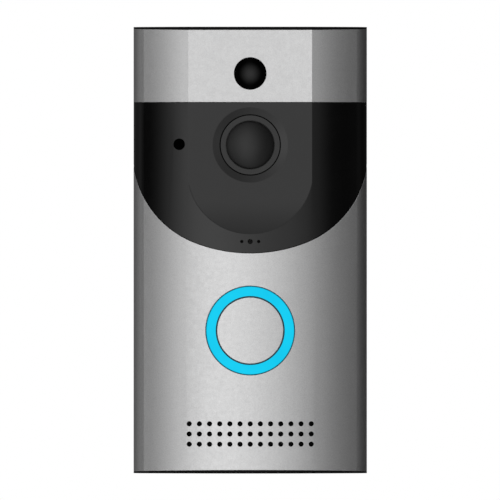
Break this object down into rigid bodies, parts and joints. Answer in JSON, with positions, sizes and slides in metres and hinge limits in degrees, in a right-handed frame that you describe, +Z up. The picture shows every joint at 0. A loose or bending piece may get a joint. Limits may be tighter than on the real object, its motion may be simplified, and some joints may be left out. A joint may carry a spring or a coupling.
{
  "type": "video door phone",
  "caption": "Wall-hung video door phone with a domed camera lens, movement sensor dome, lit round bell button, loudspeaker grille and a hook-on wall bracket.",
  "frame": {"origin": "centre of the front outline, on the wall plane behind the bracket", "axes": "+X to the viewer's right, +Z up, the front looks towards -Y"},
  "size_m": [0.068, 0.028, 0.13],
  "materials": {
    "silver_paint": "satin metallic paint on a moulded skin",
    "black_gloss": "piano black",
    "black_matt": "fine matt grain",
    "bracket_plastic": "fine matt grain",
    "lens_clear": "polished dome",
    "lens_black": "satin black",
    "lens_coated": "coated glass",
    "pir_black": "dark translucent dome",
    "light_guide": "lit translucent ring",
    "rubber_black": "matt",
    "foam_dark": "closed cell foam",
    "board_green": "solder resist",
    "board_black": "black solder resist",
    "chip_black": "moulded",
    "plated_steel": "nickel plated",
    "screw_steel": "zinc plated",
    "contact_gold": "gold plated",
    "spring_steel": "nickel plated",
    "cell_wrap": "shrink sleeve, plain",
    "terminal_green": "moulded",
    "led_clear": "clear epoxy",
    "flex_amber": "film",
    "cone_film": "film",
    "mesh_cloth": "woven"
  },
  "bodies": {
    "wall": {"wall_bracket": "bracket_plastic"},
    "unit": {"antenna": "contact_gold", "back_case": "black_matt", "battery_cells": "cell_wrap", "battery_contacts": "plated_steel", "battery_springs": "spring_steel", "board_connectors": "chip_black", "board_screws": "screw_steel", "button_board": "board_green", "button_flex": "flex_amber", "button_switch": "plated_steel", "camera_board": "board_green", "camera_screws": "screw_steel", "camera_window": "black_gloss", "case_gasket": "rubber_black", "case_screws": "screw_steel", "front_cover": "silver_paint", "front_frame": "black_matt", "image_sensor": "chip_black", "ir_led_board": "board_black", "ir_leds": "led_clear", "lens_barrel": "lens_black", "lens_bezel": "lens_black", "lens_cover": "lens_clear", "lens_glass": "lens_coated", "lens_holder": "chip_black", "lens_seal": "rubber_black", "light_ring": "light_guide", "light_sensor": "chip_black", "light_sensor_window": "pir_black", "main_board": "board_green", "main_chips": "chip_black", "microphone": "plated_steel", "microphone_boot": "rubber_black", "pir_board": "board_green", "pir_lens": "pir_black", "pir_sensor": "plated_steel", "reset_switch": "plated_steel", "ring_leds": "led_clear", "speaker_cone": "cone_film", "speaker_frame": "chip_black", "speaker_gasket": "foam_dark", "speaker_magnet": "plated_steel", "speaker_mesh": "mesh_cloth", "status_leds": "led_clear", "status_light_pipes": "pir_black", "terminal_block": "terminal_green", "terminal_screws": "screw_steel", "top_band": "silver_paint", "usb_socket": "plated_steel", "wifi_module": "plated_steel"},
    "lock": {"security_screw": "screw_steel"},
    "button": {"button_cap": "silver_paint", "switch_plunger": "chip_black"},
    "reset": {"reset_button": "chip_black"},
    "hatch": {"battery_cover": "black_matt", "battery_cover_screws": "screw_steel", "battery_cover_seal": "rubber_black"},
    "flap": {"usb_flap": "rubber_black"}
  },
  "joints": [
    {"name": "unit_lift", "type": "slide", "parent": "wall", "child": "unit", "axis": [0, 0, 1], "range_m": [0, 0.005]},
    {"name": "button_press", "type": "slide", "parent": "unit", "child": "button", "axis": [0, 1, 0], "range_m": [0, 0.0005], "stiffness_N_per_m": 900, "springref_m": -0.001},
    {"name": "reset_press", "type": "slide", "parent": "unit", "child": "reset", "axis": [0, -1, 0], "range_m": [0, 0.00035], "stiffness_N_per_m": 900, "springref_m": -0.001},
    {"name": "security_screw_out", "type": "slide", "parent": "wall", "child": "lock", "axis": [0, 0, -1], "range_m": [0, 0.014]},
    {"name": "battery_cover_off", "type": "slide", "parent": "unit", "child": "hatch", "axis": [0, 1, 0], "range_m": [0, 0.02]},
    {"name": "usb_flap_turn", "type": "hinge", "parent": "unit", "child": "flap", "pos_m": [0.0068, -0.00195, 0.0397], "axis": [1, 0, 0], "range_deg": [0, 100]}
  ]
}
